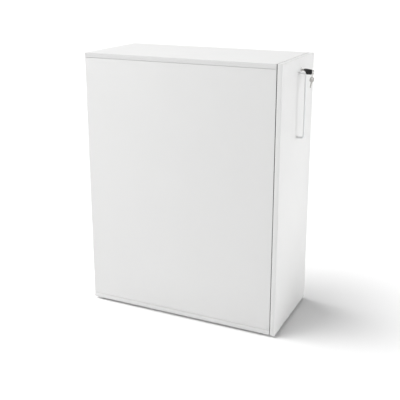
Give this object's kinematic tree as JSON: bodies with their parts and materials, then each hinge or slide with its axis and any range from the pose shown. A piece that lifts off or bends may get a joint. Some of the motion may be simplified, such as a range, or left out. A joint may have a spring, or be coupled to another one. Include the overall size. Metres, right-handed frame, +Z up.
{
  "type": "pull-out locker cabinet",
  "caption": "Tall, narrow and deep board cabinet whose full-height front pulls out on slides, with trays, a bow handle, a cam lock with a folding key, and levelling feet.",
  "frame": {"origin": "on the floor, at the middle of the overall box, keys included", "axes": "+Z up; the front with handle and lock faces -Y; +X is to the right of someone facing the front"},
  "size_m": [0.4, 0.9028, 1.1],
  "materials": {
    "laminate": "white melamine-faced board, satin, with matching edge banding",
    "frame": "white melamine-faced board, matt",
    "tray": "light grey powder coat",
    "handle": "satin",
    "zinc": "bright zinc plate",
    "nickel": "nickel plate",
    "foot": "light grey moulded",
    "key": "black moulded"
  },
  "bodies": {
    "cabinet": {"bottom_panel": "laminate", "top_panel": "laminate", "left_side_panel": "laminate", "right_side_panel": "laminate", "back_panel": "laminate", "lock_strike_plate": "zinc", "slide_outer_lower_left": "zinc", "slide_outer_lower_right": "zinc", "slide_outer_upper_left": "zinc", "slide_outer_upper_right": "zinc", "foot_socket_front_left": "zinc", "foot_socket_front_right": "zinc", "foot_socket_rear_left": "zinc", "foot_socket_rear_right": "zinc"},
    "slide_middles": {"slide_middle_lower_left": "zinc", "slide_middle_lower_right": "zinc", "slide_middle_upper_left": "zinc", "slide_middle_upper_right": "zinc"},
    "pull_out": {"front_panel": "laminate", "slide_inner_lower_left": "zinc", "slide_inner_lower_right": "zinc", "slide_inner_upper_left": "zinc", "slide_inner_upper_right": "zinc", "lower_rail_left": "frame", "lower_rail_right": "frame", "upper_rail_left": "frame", "upper_rail_right": "frame", "frame_floor": "frame", "top_tray_board": "frame", "rear_board": "frame", "lower_tray": "tray", "upper_tray": "tray", "shelf_pin_lower_front_left": "nickel", "shelf_pin_lower_rear_left": "nickel", "shelf_pin_lower_front_right": "nickel", "shelf_pin_lower_rear_right": "nickel", "shelf_pin_upper_front_left": "nickel", "shelf_pin_upper_rear_left": "nickel", "shelf_pin_upper_front_right": "nickel", "shelf_pin_upper_rear_right": "nickel", "bow_handle": "handle", "handle_screw_upper": "zinc", "handle_screw_lower": "zinc", "lock_housing": "nickel", "lock_nut": "nickel"},
    "lock_core": {"lock_core": "nickel", "lock_cam": "zinc", "cam_screw": "zinc", "key_blade": "nickel"},
    "key_head": {"key_head": "key", "key_hinge_pin": "nickel", "key_eye": "nickel"},
    "key_ring": {"key_ring": "nickel"},
    "spare_key": {"spare_key": "nickel"},
    "foot_front_left": {"levelling_foot_front_left": "foot"},
    "foot_front_right": {"levelling_foot_front_right": "foot"},
    "foot_rear_left": {"levelling_foot_rear_left": "foot"},
    "foot_rear_right": {"levelling_foot_rear_right": "foot"}
  },
  "joints": [
    {"name": "pull_out_travel", "type": "slide", "parent": "cabinet", "child": "pull_out", "axis": [0, -1, 0], "range_m": [0, 0.7]},
    {"name": "slide_middle_travel", "type": "slide", "parent": "cabinet", "child": "slide_middles", "axis": [0, -1, 0], "range_m": [0, 0.35]},
    {"name": "lock_turn", "type": "hinge", "parent": "pull_out", "child": "lock_core", "pos_m": [0.032, -0.3986, 1.051], "axis": [0, 1, 0], "range_deg": [0, 90]},
    {"name": "key_fold", "type": "hinge", "parent": "lock_core", "child": "key_head", "pos_m": [0.032, -0.4131, 1.051], "axis": [-1, 0, 0], "range_deg": [0, 95]},
    {"name": "key_ring_swing", "type": "hinge", "parent": "key_head", "child": "key_ring", "pos_m": [0.032, -0.44479, 1.03996], "axis": [-1, 0, 0], "range_deg": [-25, 25]},
    {"name": "spare_key_swing", "type": "hinge", "parent": "key_ring", "child": "spare_key", "pos_m": [0.032, -0.44305, 1.02003], "axis": [-1, 0, 0], "range_deg": [-30, 30]},
    {"name": "foot_front_left_travel", "type": "slide", "parent": "cabinet", "child": "foot_front_left", "axis": [0, 0, -1], "range_m": [0, 0.01]},
    {"name": "foot_front_right_travel", "type": "slide", "parent": "cabinet", "child": "foot_front_right", "axis": [0, 0, -1], "range_m": [0, 0.01]},
    {"name": "foot_rear_left_travel", "type": "slide", "parent": "cabinet", "child": "foot_rear_left", "axis": [0, 0, -1], "range_m": [0, 0.01]},
    {"name": "foot_rear_right_travel", "type": "slide", "parent": "cabinet", "child": "foot_rear_right", "axis": [0, 0, -1], "range_m": [0, 0.01]}
  ],
  "couplings": [
    {"joint": "slide_middle_travel", "follows": "pull_out_travel", "ratio": 0.5}
  ]
}
